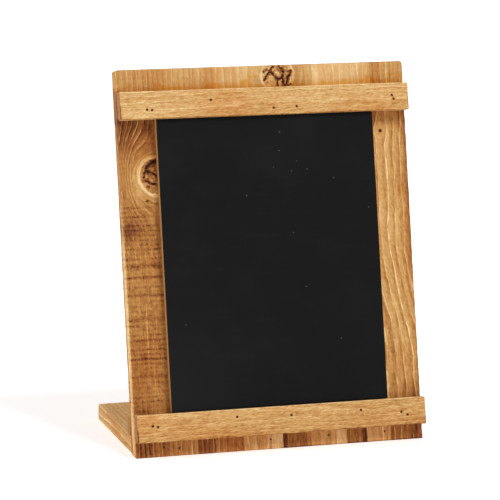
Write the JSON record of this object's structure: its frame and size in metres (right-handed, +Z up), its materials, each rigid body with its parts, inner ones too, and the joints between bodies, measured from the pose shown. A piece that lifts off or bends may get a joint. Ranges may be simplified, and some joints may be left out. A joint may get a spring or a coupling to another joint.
{
  "type": "tabletop chalkboard stand",
  "caption": "Free-standing tabletop chalkboard: leaning rough-sawn pine board on a foot plank, black chalk panel held between two nailed rails.",
  "frame": {"origin": "on the table, at the middle of the stand's width and of its depth", "axes": "+Z up, -Y towards the reader in front of the chalkboard, +X to the reader's right"},
  "size_m": [0.288, 0.1634, 0.3596],
  "materials": {
    "sawn_pine": "rough-sawn pine, honey-brown stain, satin wax",
    "planed_pine": "planed pine batten, lighter honey stain, satin wax",
    "chalk_paint": "matte black chalkboard paint on fibreboard, edges stained brown",
    "brad_steel": "dull browned steel brad, sunk below the surface",
    "screw_steel": "yellow-passivated zinc wood screw"
  },
  "bodies": {
    "root": {"back_board": "sawn_pine", "top_rail": "planed_pine", "bottom_rail": "planed_pine", "chalkboard_panel": "chalk_paint", "foot": "sawn_pine", "cleat": "planed_pine", "top_rail_brad_1": "brad_steel", "top_rail_brad_2": "brad_steel", "top_rail_brad_3": "brad_steel", "top_rail_brad_4": "brad_steel", "top_rail_brad_5": "brad_steel", "top_rail_brad_6": "brad_steel", "top_rail_brad_7": "brad_steel", "bottom_rail_brad_1": "brad_steel", "bottom_rail_brad_2": "brad_steel", "bottom_rail_brad_3": "brad_steel", "bottom_rail_brad_4": "brad_steel", "bottom_rail_brad_5": "brad_steel", "bottom_rail_brad_6": "brad_steel", "bottom_rail_brad_7": "brad_steel", "foot_brad_1": "brad_steel", "foot_brad_2": "brad_steel", "foot_brad_3": "brad_steel", "foot_brad_4": "brad_steel", "foot_brad_5": "brad_steel", "foot_screw_1": "screw_steel", "foot_screw_2": "screw_steel", "foot_screw_3": "screw_steel", "cleat_screw_1": "screw_steel", "cleat_screw_2": "screw_steel"}
  },
  "joints": []
}
